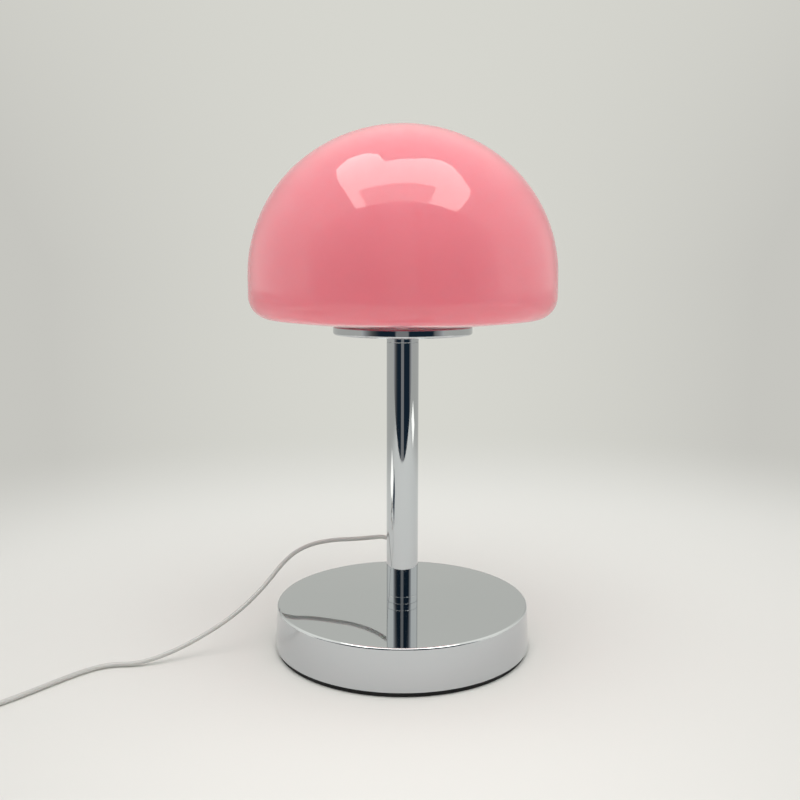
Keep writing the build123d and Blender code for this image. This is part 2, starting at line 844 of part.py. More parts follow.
with BuildPart() as switch_upper_shell:
    with BuildSketch(switch_plane.offset(switch_split)):
        RectangleRounded(switch_length, switch_width, switch_corner)
    extrude(amount=switch_height - switch_split)
    fillet(switch_upper_shell.edges().group_by(Axis.Z)[-1], radius=switch_top_round)
    with BuildSketch(switch_plane.offset(switch_split)):
        RectangleRounded(case_inner_length, case_inner_width, case_inner_round)
        with Locations(*boss_spots):
            Circle(boss_radius, mode=Mode.SUBTRACT)
    extrude(amount=upper_ceiling - switch_split, mode=Mode.SUBTRACT)
    with BuildSketch(switch_plane.offset(upper_ceiling)):
        Rectangle(window_length, window_width)
    extrude(amount=switch_wall, mode=Mode.SUBTRACT)
    with BuildSketch(switch_plane.offset(rocker_pivot - pin_radius - pin_ear / 2)):
        with GridLocations(0, window_width + ear_thickness, 1, 2):
            Rectangle(ear_width, ear_thickness)
    extrude(amount=upper_ceiling - rocker_pivot + pin_radius + pin_ear / 2)
    with BuildSketch(side_plane):
        with Locations((0, rocker_pivot)):
            Circle(pin_radius + fit_gap)
    extrude(amount=case_inner_width / 2, both=True, mode=Mode.SUBTRACT)
    with BuildSketch(switch_plane.offset(switch_split)):
        with Locations(*boss_spots):
            Circle(case_screw_radius)
    extrude(amount=upper_ceiling - switch_split - switch_wall, mode=Mode.SUBTRACT)
    with BuildSketch(across_plane):
        Circle(cord_radius + fit_gap)
    extrude(amount=switch_length / 2, both=True, mode=Mode.SUBTRACT)
finish(switch_upper_shell, "switch_upper_shell")

with BuildPart() as switch_screws:
    with BuildSketch(switch_plane.offset(edge_break)):
        with Locations(*boss_spots):
            Circle(case_screw_head)
    extrude(amount=switch_wall - edge_break)
    with BuildSketch(switch_plane.offset(switch_wall)):
        with Locations(*boss_spots):
            Circle(case_screw_radius)
    extrude(amount=upper_ceiling - 2 * switch_wall)
finish(switch_screws, "switch_screws")

with BuildPart() as rocker_pin:
    with BuildSketch(side_plane):
        with Locations((0, rocker_pivot)):
            Circle(pin_radius)
    extrude(amount=case_inner_width / 2 - fit_gap, both=True)
finish(rocker_pin, "rocker_pin")

# rocker: round ends on the pivot, two pressing faces that meet in a shallow hollow
tip_up = Vector(0, 0, sin(radians(rocker_tilt)))
rocker_plane = Plane(
    origin=switch_middle + Vector(0, 0, rocker_pivot),
    x_dir=along_switch * cos(radians(rocker_tilt)) + tip_up,
    z_dir=right_of_switch,
)
rocker_swing = rocker_radius * sin(radians(rocker_tilt))
rocker_tip_height = switch_height - rocker_pivot + rocker_swing + rocker_proud
rocker_tip = sqrt(rocker_radius**2 - rocker_tip_height**2)
rocker_hub = pin_radius + pin_ear
rocker_skirt = pin_radius

with BuildPart() as switch_rocker:
    with BuildSketch(rocker_plane):
        with BuildLine():
            dip = Line((-rocker_tip, rocker_tip_height), (0, rocker_tip_height - rocker_rise))
            rise = Line(dip @ 1, (rocker_tip, rocker_tip_height))
            skirt_end = sqrt(rocker_radius**2 - rocker_skirt**2)
            RadiusArc(rise @ 1, (skirt_end, -rocker_skirt), rocker_radius)
            Line((skirt_end, -rocker_skirt), (rocker_hub, -rocker_hub))
            Line((rocker_hub, -rocker_hub), (-rocker_hub, -rocker_hub))
            Line((-rocker_hub, -rocker_hub), (-skirt_end, -rocker_skirt))
            RadiusArc((-skirt_end, -rocker_skirt), dip @ 0, rocker_radius)
        make_face()
        Circle(pin_radius + fit_gap, mode=Mode.SUBTRACT)
    extrude(amount=rocker_width / 2, both=True)
finish(switch_rocker, "switch_rocker")

# spring contact under the rocker and the fixed contact that it reaches
contact_reach = rocker_radius + contact_width
with BuildPart() as switch_contacts:
    with BuildSketch(switch_plane.offset(switch_wall)):
        with GridLocations(contact_reach + contact_split, 0, 2, 1):
            Rectangle(contact_reach, contact_width)
    extrude(amount=contact_thickness)
    with BuildSketch(switch_plane.offset(switch_wall)):
        with GridLocations(contact_thickness + contact_split, 0, 2, 1):
            Rectangle(contact_thickness, contact_width)
    extrude(amount=rocker_pivot - rocker_hub - seat_gap - contact_play - switch_wall)
finish(switch_contacts, "switch_contacts")

# cut ends of the cord inside the case, with the conductor that runs straight through
stub_length = switch_wall + stub_reach
wire_level = switch_split - cord_radius / 2


def in_switch(along, right, height):
    return tuple(switch_plane.from_local_coords(Vector(along, -right, height)))


with BuildPart() as switch_wiring:
    for end in (-1, 1):
        with BuildSketch(across_plane.offset(end * (switch_length / 2 - stub_length / 2))):
            Circle(cord_radius)
        extrude(amount=stub_length / 2, both=True)
    stub_end = switch_length / 2 - stub_length
    straight_end = stub_end - core_straight
    shifted_end = straight_end - core_shift
    through_side = cord_radius + wire_diameter
    run = [
        in_switch(-stub_end, core_offset, switch_split),
        in_switch(-straight_end, core_offset, switch_split),
        in_switch(-shifted_end, through_side, wire_level),
        in_switch(shifted_end, through_side, wire_level),
        in_switch(straight_end, core_offset, switch_split),
        in_switch(stub_end, core_offset, switch_split),
    ]
    add(round_tube(run, wire_diameter, wire_diameter).part)
finish(switch_wiring, "switch_wiring")

# ---------- plug ----------

along_plug = Vector(cos(radians(plug_heading)), sin(radians(plug_heading)), 0)
right_of_plug = Vector(along_plug.Y, -along_plug.X, 0)
plug_plane = Plane(origin=plug_mouth, x_dir=right_of_plug, z_dir=along_plug)
grip_start = plug_plane.offset(plug_nose_length)
shell_start = plug_nose_length + plug_grip_length - plug_shell_root
shell_whole = plug_shell_root + plug_shell_length

with BuildPart() as plug_grip:
    with BuildSketch(grip_start):
        RectangleRounded(plug_grip_width, plug_grip_height, plug_grip_round)
    extrude(amount=plug_grip_length)
    with BuildSketch(plug_plane):
        Circle(cord_radius + nose_tip_wall)
    with BuildSketch(grip_start):
        Circle(plug_nose_radius)
    loft()
    with BuildSketch(plug_plane.offset(shell_start)):
        Rectangle(plug_shell_width + 2 * fit_gap, plug_shell_height + 2 * fit_gap)
    extrude(amount=plug_shell_root, mode=Mode.SUBTRACT)
finish(plug_grip, "plug_grip")

with BuildPart() as plug_shell:
    with BuildSketch(plug_plane.offset(shell_start)):
        Rectangle(plug_shell_width, plug_shell_height)
        Rectangle(
            plug_shell_width - 2 * plug_shell_wall,
            plug_shell_height - 2 * plug_shell_wall,
            mode=Mode.SUBTRACT,
        )
    extrude(amount=shell_whole)
finish(plug_shell, "plug_shell")

tongue_offset = -(plug_shell_height / 2 - plug_shell_wall - tongue_thickness / 2)
with BuildPart() as plug_tongue:
    with BuildSketch(plug_plane.offset(shell_start)):
        with Locations((0, tongue_offset)):
            Rectangle(plug_shell_width - 2 * plug_shell_wall, tongue_thickness)
    extrude(amount=shell_whole - edge_break)
finish(plug_tongue, "plug_tongue")

with BuildPart() as plug_contacts:
    contact_level = tongue_offset + (tongue_thickness + plug_contact_thickness) / 2
    with BuildSketch(plug_plane.offset(shell_start + plug_shell_root)):
        with Locations((0, contact_level)):
            with GridLocations(plug_contact_pitch, 0, plug_contact_count, 1):
                Rectangle(plug_contact_width, plug_contact_thickness)
    extrude(amount=plug_shell_length - plug_contact_inset)
finish(plug_contacts, "plug_contacts")
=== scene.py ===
# Mushroom table lamp: a pink opal glass shade on a chrome stem and a weighted chrome base,
# with a thin pale grey cord, an in-line rocker switch and a flat plug.
import math

import bmesh
import bpy
from mathutils import Matrix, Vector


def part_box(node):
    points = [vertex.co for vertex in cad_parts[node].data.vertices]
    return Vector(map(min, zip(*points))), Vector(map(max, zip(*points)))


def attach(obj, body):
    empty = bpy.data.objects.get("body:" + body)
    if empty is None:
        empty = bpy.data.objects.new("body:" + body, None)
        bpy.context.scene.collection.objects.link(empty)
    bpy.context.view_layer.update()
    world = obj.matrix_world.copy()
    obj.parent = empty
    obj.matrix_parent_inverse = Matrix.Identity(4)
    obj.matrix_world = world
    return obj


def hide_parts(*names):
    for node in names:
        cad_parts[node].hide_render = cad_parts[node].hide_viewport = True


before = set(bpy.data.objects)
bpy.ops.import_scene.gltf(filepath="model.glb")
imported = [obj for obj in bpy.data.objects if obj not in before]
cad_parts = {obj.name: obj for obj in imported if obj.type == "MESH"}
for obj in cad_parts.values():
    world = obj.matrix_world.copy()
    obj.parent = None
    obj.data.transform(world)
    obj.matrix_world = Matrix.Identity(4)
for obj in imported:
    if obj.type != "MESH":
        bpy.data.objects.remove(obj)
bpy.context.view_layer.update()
mm = 0.001
print("frame loaded:", len(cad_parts), "nodes")


# camera, at the photograph's place and angle

cameraView = {
    "lens": 41.85,  # mm
    "sensor": 36,  # mm wide
    "clipEnd": 20,  # metres
    "place": (0.0, -0.611, 0.2533),
    "lookDown": 7.96,  # degrees
    "turnLeft": 0.16,
    "roll": 0.115,
}

camera = bpy.data.objects.new("camera", bpy.data.cameras.new("camera"))
bpy.context.scene.collection.objects.link(camera)
bpy.context.scene.camera = camera
camera.data.lens = cameraView["lens"]
camera.data.sensor_width = cameraView["sensor"]
camera.data.clip_end = cameraView["clipEnd"]
camera.matrix_world = (
    Matrix.Translation(cameraView["place"])
    @ Matrix.Rotation(math.radians(cameraView["turnLeft"]), 4, "Z")
    @ Matrix.Rotation(math.radians(90 - cameraView["lookDown"]), 4, "X")
    @ Matrix.Rotation(math.radians(cameraView["roll"]), 4, "Z")
)
print("camera placed")


# the free cord, one line from the stem through the switch and the coil to the plug

cord = {
    "diameter": 3 * mm,
    "length": 1.5,  # what a small low-voltage lamp has
    "exitAngle": 118,  # degrees round the stem, from +X
    "exitHeight": 68 * mm,
    "noseTip": 15.6 * mm,  # from the stem's middle
    "noseReach": 9.5 * mm,
    "switchEntry": (-0.2905, -0.081, 0.006),
    "switchHeading": 106,
    "switchLength": 46 * mm,
    "runIn": 14.5 * mm,  # straight before the switch
    "runOut": 11 * mm,  # and after it
    "plugRun": 12 * mm,  # straight before the plug
    "plugMouth": (-0.367, -0.1015, 0.004),
    "plugHeading": 270,
}

coil = {
    "centre": (-0.341, -0.05),
    "innerRadius": 14.2 * mm,
    "pitch": 4 * mm,
    "turnsPerLayer": 2,
    "layers": 4,
    "startAngle": 180,
    "base": 2.3 * mm,
    "pointsPerTurn": 16,
}


def around(radius, angle, height):
    return (radius * math.cos(math.radians(angle)), radius * math.sin(math.radians(angle)), height)


def ahead(point, heading, reach):
    turned = math.radians(heading)
    return (point[0] + reach * math.cos(turned), point[1] + reach * math.sin(turned), point[2])


def coilPoint(turn):
    # four layers that spiral in and out again, each climb in the half turn round a reversal
    layer = turn / coil["turnsPerLayer"]
    whole = min(int(layer), coil["layers"] - 1)
    share = layer - whole
    outward = share if whole % 2 else 1 - share
    radius = coil["innerRadius"] + outward * coil["turnsPerLayer"] * coil["pitch"]
    level = whole
    nearest = round(layer)
    if 0 < nearest < coil["layers"]:
        climb = (turn - nearest * coil["turnsPerLayer"]) * 2 + 0.5
        climb = min(1, max(0, climb))
        level = nearest - 1 + climb * climb * (3 - 2 * climb)
    # the line runs inside its control points, so these stand out by as much
    radius /= (3 + math.cos(2 * math.pi / coil["pointsPerTurn"])) / 4
    angle = math.radians(coil["startAngle"]) + 2 * math.pi * turn
    return (
        coil["centre"][0] + radius * math.cos(angle),
        coil["centre"][1] + radius * math.sin(angle),
        coil["base"] + level * coil["pitch"],
    )


def cordRoute():
    # out of the stem's back and slack down to the table, along it to the switch, then the coil and the plug;
    # the seen stretch began as a program's fit to the photographed line, rounded and partly moved,
    # and the nine points from x = -0.15 on are up to 5 mm off the CAD node's, to lie on the table
    entry, heading = cord["switchEntry"], cord["switchHeading"]
    leaving = ahead(entry, heading, cord["switchLength"])
    coilTurns = coil["turnsPerLayer"] * coil["layers"]
    loops = [coilPoint(i / coil["pointsPerTurn"]) for i in range(coilTurns * coil["pointsPerTurn"] + 1)]
    coilIn, coilOut = (-0.3632, -0.047, 0.0023), (-0.3632, -0.053, 0.0143)
    return [
        around(cord["noseTip"], cord["exitAngle"], cord["exitHeight"]),
        around(cord["noseTip"] + cord["noseReach"], cord["exitAngle"], cord["exitHeight"]),
        (-0.02, 0.029, 0.0655),
        (-0.034, 0.0345, 0.0625),
        (-0.0505, 0.0375, 0.061),
        (-0.067, 0.036, 0.058),
        (-0.081, 0.0225, 0.053),
        (-0.095, 0.0025, 0.0375),
        (-0.111, -0.012, 0.0245),
        (-0.13, -0.023, 0.014),
        (-0.15, -0.0335, 0.006),
        (-0.17, -0.0425, 0.0018),
        (-0.188, -0.0425, 0.0018),
        (-0.202, -0.0535, 0.0018),
        (-0.217, -0.0735, 0.0018),
        (-0.231, -0.0925, 0.0018),
        (-0.2445, -0.107, 0.0018),
        (-0.261, -0.112, 0.0025),
        (-0.2765, -0.1075, 0.0045),
        ahead(entry, heading, -cord["runIn"]),
        entry,
        leaving,
        ahead(leaving, heading, cord["runOut"]),
        (-0.313, -0.012, 0.0045),
        (-0.325, -0.0015, 0.0023),
        (-0.341, -0.0005, 0.0023),
        (-0.355, -0.0105, 0.0023),
        (-0.3632, -0.0325, 0.0023),
        coilIn,
        *loops,
        coilOut,
        (-0.3632, -0.0625, 0.0143),
        (-0.3645, -0.076, 0.0102),
        ahead(cord["plugMouth"], cord["plugHeading"], -cord["plugRun"]),
        cord["plugMouth"],
    ]


def makeCord():
    route = cordRoute()
    curve = bpy.data.curves.new("flexCord", "CURVE")
    curve.dimensions = "3D"
    line = curve.splines.new("NURBS")
    line.points.add(len(route) - 1)
    for point, place in zip(line.points, route):
        point.co = (*place, 1)
        point.radius = cord["diameter"] / 2
    line.order_u = 3
    line.use_endpoint_u = True
    line.use_smooth = True
    curve.resolution_u = 8
    curve.bevel_depth = 1  # times each point's radius
    curve.bevel_resolution = 4
    curve.use_fill_caps = True
    piece = bpy.data.objects.new("flexCord", curve)
    bpy.context.scene.collection.objects.link(piece)
    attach(piece, "stand")
    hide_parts("cord_lead", "cord_link", "cord_coil", "cord_tail")
    return piece


flexCord = makeCord()
print("cord laid")


# helpers for materials


def toLinear(hexColour):
    channels = [int(hexColour[i : i + 2], 16) / 255 for i in (1, 3, 5)]
    return [c / 12.92 if c <= 0.04045 else ((c + 0.055) / 1.055) ** 2.4 for c in channels] + [1]


def addNode(tree, kind, settings={}, links={}):
    # settings are socket names, socket numbers or the node's own options
    node = tree.nodes.new(kind)
    for key, value in settings.items():
        if isinstance(key, int) or key in node.inputs:
            node.inputs[key].default_value = value
        else:
            setattr(node, key, value)
    for key, socket in links.items():
        tree.links.new(socket, node.inputs[key])
    return node


def newMaterial(name):
    material = bpy.data.materials.new(name)
    material.use_nodes = True
    tree = material.node_tree
    tree.nodes.clear()
    place = addNode(tree, "ShaderNodeTexCoord").outputs["Object"]
    shader = addNode(tree, "ShaderNodeBsdfPrincipled")
    addNode(tree, "ShaderNodeOutputMaterial", {}, {"Surface": shader.outputs[0]})
    return material, tree, place, shader


def finishMaterial(name, look):
    # tone drifts between two colours, gloss between two roughnesses, and the grain is a bump of real size;
    # a noise feature is about half of 1 / scale across, so scale = 0.5 / size
    material, tree, place, shader = newMaterial(name)
    for socket, value in look["shader"].items():
        shader.inputs[socket].default_value = value
    drift = addNode(
        tree,
        "ShaderNodeTexNoise",
        {"Scale": 0.5 / look["driftSize"], "Detail": 3, "Roughness": 0.5},
        {"Vector": place},
    )
    tone = addNode(
        tree,
        "ShaderNodeMix",
        {"data_type": "RGBA", 6: toLinear(look["colours"][0]), 7: toLinear(look["colours"][1])},
        {0: drift.outputs[0]},
    )
    tree.links.new(tone.outputs[2], shader.inputs["Base Color"])
    grain = addNode(
        tree,
        "ShaderNodeTexNoise",
        {"Scale": 0.5 / look["grainSize"], "Detail": 4, "Roughness": 0.6},
        {"Vector": place},
    )
    gloss = addNode(
        tree,
        "ShaderNodeMapRange",
        {"From Min": 0.3, "From Max": 0.7, "To Min": look["roughness"][0], "To Max": look["roughness"][1]},
        {"Value": (drift if look.get("glossDrifts") else grain).outputs[0]},
    )
    tree.links.new(gloss.outputs[0], shader.inputs["Roughness"])
    bump = addNode(
        tree, "ShaderNodeBump", {"Strength": 1, "Distance": look["grainDepth"]}, {"Height": grain.outputs[0]}
    )
    tree.links.new(bump.outputs[0], shader.inputs["Normal"])
    return material


# materials of the lamp

# opal glass, coloured through and blown: deep gloss over a milky body, with a faint swell from the blowing
def makeOpalGlass():
    look = {
        "rose": "#E37D88",
        "paleRose": "#E88792",
        "cloudSize": 45 * mm,
        "swellSize": 60 * mm,
        "swellDepth": 0.12 * mm,
    }
    material, tree, place, shader = newMaterial("opalGlassRose")
    shader.inputs["IOR"].default_value = 1.52
    shader.inputs["Roughness"].default_value = 0.035
    shader.inputs["Subsurface Weight"].default_value = 1
    shader.inputs["Subsurface Radius"].default_value = (1.0, 0.6, 0.65)
    shader.inputs["Subsurface Scale"].default_value = 5 * mm
    clouds = addNode(
        tree,
        "ShaderNodeTexNoise",
        {"Scale": 0.5 / look["cloudSize"], "Detail": 4, "Roughness": 0.55, "Distortion": 0.6},
        {"Vector": place},
    )
    tone = addNode(
        tree,
        "ShaderNodeMix",
        {"data_type": "RGBA", 6: toLinear(look["rose"]), 7: toLinear(look["paleRose"])},
        {0: clouds.outputs[0]},
    )
    tree.links.new(tone.outputs[2], shader.inputs["Base Color"])
    swell = addNode(
        tree, "ShaderNodeTexNoise", {"Scale": 0.5 / look["swellSize"], "Detail": 1}, {"Vector": place}
    )
    bump = addNode(
        tree, "ShaderNodeBump", {"Strength": 1, "Distance": look["swellDepth"]}, {"Height": swell.outputs[0]}
    )
    tree.links.new(bump.outputs[0], shader.inputs["Normal"])
    return material


finishes = {
    # mirror chrome plate on polished steel: grey, sharp reflections with a trace of haze
    "chromePlate": {
        "shader": {"Metallic": 1.0},
        "colours": ("#C4C8CB", "#C8CBCE"),
        "driftSize": 30 * mm,
        "roughness": (0.02, 0.05),
        "glossDrifts": True,
        "grainSize": 12 * mm,
        "grainDepth": 0.002 * mm,
    },
    # closed-cell foam rubber: dead black and full of fine pores
    "foamRubber": {
        "shader": {"IOR": 1.5},
        "colours": ("#0C0C0C", "#171716"),
        "driftSize": 5 * mm,
        "roughness": (0.75, 0.95),
        "grainSize": 0.5 * mm,
        "grainDepth": 0.15 * mm,
    },
    # soft light grey vinyl jacket: satin, hardly grained
    "vinylJacket": {
        "shader": {"IOR": 1.53, "Subsurface Weight": 0.08, "Subsurface Scale": 1 * mm},
        "colours": ("#B2B2AE", "#BABAB6"),
        "driftSize": 20 * mm,
        "roughness": (0.34, 0.44),
        "grainSize": 0.6 * mm,
        "grainDepth": 0.01 * mm,
    },
    # moulded white styrene with a fine spark texture
    "mouldedWhite": {
        "shader": {"IOR": 1.54, "Subsurface Weight": 0.05, "Subsurface Scale": 1 * mm},
        "colours": ("#DDDDDA", "#E3E3E0"),
        "driftSize": 15 * mm,
        "roughness": (0.3, 0.42),
        "grainSize": 0.35 * mm,
        "grainDepth": 0.012 * mm,
    },
    # milky polycarbonate diffuser: soft gloss, light goes in deep
    "opalPlastic": {
        "shader": {"IOR": 1.58, "Subsurface Weight": 0.5, "Subsurface Scale": 4 * mm},
        "colours": ("#EDEDE8", "#F3F3EF"),
        "driftSize": 20 * mm,
        "roughness": (0.22, 0.32),
        "grainSize": 1.5 * mm,
        "grainDepth": 0.005 * mm,
    },
    # soft silicone: cloudy, pale and dull
    "clearSilicone": {
        "shader": {"IOR": 1.41, "Subsurface Weight": 0.3, "Subsurface Scale": 1 * mm},
        "colours": ("#E2E2DE", "#ECECE8"),
        "driftSize": 8 * mm,
        "roughness": (0.4, 0.5),
        "grainSize": 1 * mm,
        "grainDepth": 0.01 * mm,
    },
    # grey iron as it leaves the sand: dark, matte and grainy
    "castIron": {
        "shader": {"Metallic": 0.7},
        "colours": ("#3E3E40", "#56565A"),
        "driftSize": 10 * mm,
        "roughness": (0.55, 0.8),
        "grainSize": 1.2 * mm,
        "grainDepth": 0.15 * mm,
    },
    # powder-coated steel: satin black with a fine peel
    "blackCoat": {
        "shader": {"IOR": 1.5},
        "colours": ("#121212", "#1A1A1A"),
        "driftSize": 20 * mm,
        "roughness": (0.38, 0.5),
        "grainSize": 0.8 * mm,
        "grainDepth": 0.02 * mm,
    },
    # zinc-plated steel: cool bright grey with cloudy patches
    "zincPlate": {
        "shader": {"Metallic": 1.0},
        "colours": ("#A4A8AC", "#BDBFBF"),
        "driftSize": 3 * mm,
        "roughness": (0.24, 0.38),
        "grainSize": 0.5 * mm,
        "grainDepth": 0.006 * mm,
    },
    # nickel-plated pressed steel: warm bright grey
    "nickelPlate": {
        "shader": {"Metallic": 1.0},
        "colours": ("#C4C1B9", "#CECBC4"),
        "driftSize": 4 * mm,
        "roughness": (0.14, 0.24),
        "grainSize": 0.4 * mm,
        "grainDepth": 0.003 * mm,
    },
    # rolled brass contacts: yellow metal with a light tarnish
    "contactBrass": {
        "shader": {"Metallic": 1.0},
        "colours": ("#C79A4E", "#D9B465"),
        "driftSize": 2 * mm,
        "roughness": (0.2, 0.34),
        "grainSize": 0.3 * mm,
        "grainDepth": 0.004 * mm,
    },
    # white solder mask over aluminium: even white, slightly glossy
    "boardMask": {
        "shader": {"IOR": 1.5},
        "colours": ("#E6E8E6", "#EDEFEE"),
        "driftSize": 6 * mm,
        "roughness": (0.3, 0.42),
        "grainSize": 0.4 * mm,
        "grainDepth": 0.006 * mm,
    },
    # phosphor gel on the light chips: egg-yolk yellow and soft
    "chipPhosphor": {
        "shader": {"IOR": 1.5, "Subsurface Weight": 0.2, "Subsurface Scale": 0.5 * mm},
        "colours": ("#E2B53A", "#EBC95E"),
        "driftSize": 1.2 * mm,
        "roughness": (0.4, 0.55),
        "grainSize": 0.3 * mm,
        "grainDepth": 0.01 * mm,
    },
    # red vinyl on the two board wires
    "redInsulation": {
        "shader": {"IOR": 1.53},
        "colours": ("#9C1A17", "#AE2420"),
        "driftSize": 3 * mm,
        "roughness": (0.35, 0.45),
        "grainSize": 0.4 * mm,
        "grainDepth": 0.006 * mm,
    },
}
materials = {name: finishMaterial(name, look) for name, look in finishes.items()}
materials["opalGlassRose"] = makeOpalGlass()


# woven hook-and-loop strap: two crossing sets of threads, painted lighter and darker in turn as if they
# caught the light
def makeStrapWeave():
    look = {"thread": 0.5 * mm, "depth": 0.08 * mm, "colours": ("#B9B9B6", "#DEDEDB")}
    material, tree, place, shader = newMaterial("strapWeave")
    shader.inputs["Roughness"].default_value = 0.9
    shader.inputs["Sheen Weight"].default_value = 0.3
    waves = [
        addNode(
            tree,
            "ShaderNodeTexWave",
            {
                "wave_type": "BANDS",
                "bands_direction": way,
                "Scale": 0.314 / look["thread"],  # bands lie 0.314 / scale apart
                "Distortion": 0.4,
            },
            {"Vector": place},
        )
        for way in ("DIAGONAL", "Z")
    ]
    weave = addNode(
        tree,
        "ShaderNodeMath",
        {"operation": "MULTIPLY"},
        {0: waves[0].outputs["Fac"], 1: waves[1].outputs["Fac"]},
    )
    # painted highlight and shade: the threads' two tones follow the weave
    tone = addNode(
        tree,
        "ShaderNodeMix",
        {"data_type": "RGBA", 6: toLinear(look["colours"][0]), 7: toLinear(look["colours"][1])},
        {0: weave.outputs[0]},
    )
    tree.links.new(tone.outputs[2], shader.inputs["Base Color"])
    bump = addNode(
        tree, "ShaderNodeBump", {"Strength": 1, "Distance": look["depth"]}, {"Height": weave.outputs[0]}
    )
    tree.links.new(bump.outputs[0], shader.inputs["Normal"])
    return material


materials["strapWeave"] = makeStrapWeave()
flexCord.data.materials.append(materials["vinylJacket"])
print("materials made:", len(materials))


# helpers for meshes


def startProfile(x, z):
    bm = bmesh.new()
    return bm, bm.verts.new((x, 0, z))


def lineTo(bm, last, x, z):
    corner = bmesh.ops.extrude_vert_indiv(bm, verts=[last])["verts"][0]
    corner.co = (x, 0, z)
    return corner


def arcRound(bm, last, x, z, turn, steps):
    # swings the last point round (x, z), in degrees, turning from +X towards +Z
    made = bmesh.ops.spin(
        bm, geom=[last], cent=(x, 0, z), axis=(0, -1, 0), angle=math.radians(turn), steps=steps
    )
    return [part for part in made["geom_last"] if isinstance(part, bmesh.types.BMVert)][0]


def turned(bm, steps):
    # turns the profile round the stem's axis into a closed solid
    bmesh.ops.spin(
        bm,
        geom=bm.verts[:] + bm.edges[:],
        cent=(0, 0, 0),
        axis=(0, 0, 1),
        angle=2 * math.pi,
        steps=steps,
        use_merge=True,
    )
    bmesh.ops.remove_doubles(bm, verts=bm.verts[:], dist=0.001 * mm)
    bmesh.ops.recalc_face_normals(bm, faces=bm.faces[:])


def turnedSolid(corners, steps):
    bm, first = startProfile(*corners[0])
    last = first
    for corner in corners[1:]:
        last = lineTo(bm, last, *corner)
    bm.edges.new((last, first))
    turned(bm, steps)
    return bm


def sharpEdges(bm, x=None, z=None):
    # edges that turn sharply, if given only those at distance x from the axis or at height z
    close, sharp = 0.02 * mm, math.radians(30)
    return [
        edge
        for edge in bm.edges
        if len(edge.link_faces) == 2
        and edge.calc_face_angle() > sharp
        and all(x is None or abs(math.hypot(v.co.x, v.co.y) - x) < close for v in edge.verts)
        and all(z is None or abs(v.co.z - z) < close for v in edge.verts)
    ]


def roundEdges(bm, edges, size, segments):
    bmesh.ops.bevel(
        bm, geom=edges, offset=size, affect="EDGES", segments=segments, profile=0.5, material=-1
    )


shadingAngle = math.radians(35)  # edges that turn by more stay crisp


def makePiece(name, bm, body, material, nodes):
    mesh = bpy.data.meshes.new(name)
    bm.to_mesh(mesh)
    bm.free()
    mesh.shade_smooth()
    mesh.set_sharp_from_angle(angle=shadingAngle)
    mesh.materials.append(materials[material])
    piece = bpy.data.objects.new(name, mesh)
    bpy.context.scene.collection.objects.link(piece)
    weighted = piece.modifiers.new("evenShading", "WEIGHTED_NORMAL")
    weighted.keep_sharp = True
    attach(piece, body)
    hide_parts(*nodes)
    return piece


# glass shade

glass = {
    "wall": 3.2 * mm,
    "neckRadius": 38 * mm,
    "neckRound": 1 * mm,
    "rimRound": 15 * mm,
    "underAngle": 9,  # degrees that the underside climbs to at the rim
    "bandHeight": 12.4 * mm,
    "domeHeight": 96 * mm,
    "crownTurn": 53,  # degrees up the side where the flatter crown starts
    "neckSegments": 5,
    "arcSteps": (10, 14, 24, 20),  # underside, rim, side and crown
    "steps": 192,
}


def glassSkin(bm, last, inset, bottom, radius):
    # one skin of the shade from neck to apex, drawn inset from the outer surface
    under = math.radians(glass["underAngle"])
    underSteps, rimSteps, sideSteps, crownSteps = glass["arcSteps"]
    cornerX = radius - glass["rimRound"]
    underRadius = (cornerX + glass["rimRound"] * math.sin(under) - glass["neckRadius"]) / math.sin(under)
    cornerZ = bottom + underRadius * (1 - math.cos(under)) + glass["rimRound"] * math.cos(under)
    domeBase = cornerZ + glass["bandHeight"]
    crown = math.radians(glass["crownTurn"])
    shift = (radius - glass["domeHeight"]) / (math.sin(crown) + math.cos(crown) - 1)
    crownRadius = glass["domeHeight"] + shift * math.sin(crown)
    last = arcRound(bm, last, glass["neckRadius"], bottom + underRadius, glass["underAngle"], underSteps)
    last = arcRound(bm, last, cornerX, cornerZ, 90 - glass["underAngle"], rimSteps)
    last = lineTo(bm, last, radius - inset, domeBase)
    last = arcRound(bm, last, shift * math.cos(crown), domeBase, glass["crownTurn"], sideSteps)
    crownZ = domeBase + glass["domeHeight"] - crownRadius
    return arcRound(bm, last, 0, crownZ, 90 - glass["crownTurn"], crownSteps)


def makeGlassShade():
    low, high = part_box("glass_shade")
    bm, outer = startProfile(glass["neckRadius"], low.z)
    inner = lineTo(bm, outer, glass["neckRadius"], low.z + glass["wall"])
    glassSkin(bm, outer, 0, low.z, high.x)
    glassSkin(bm, inner, glass["wall"], low.z, high.x)
    turned(bm, glass["steps"])
    neck = sharpEdges(bm, x=glass["neckRadius"])
    roundEdges(bm, neck, glass["neckRound"], glass["neckSegments"])
    return makePiece("glassShade", bm, "shade", "opalGlassRose", ["glass_shade"])


makeGlassShade()
print("glass shade made")


# plate, gasket, stem and base

plate = {
    "radius": 45.75 * mm,
    "thickness": 5.9 * mm,
    "lowerRound": 1.6 * mm,
    "upperBevel": 1 * mm,
    "ringRadius": 36.8 * mm,
    "ringWall": 1.6 * mm,
    "ringEdge": 0.3 * mm,
    "bore": 5.05 * mm,
    "steps": 160,
}


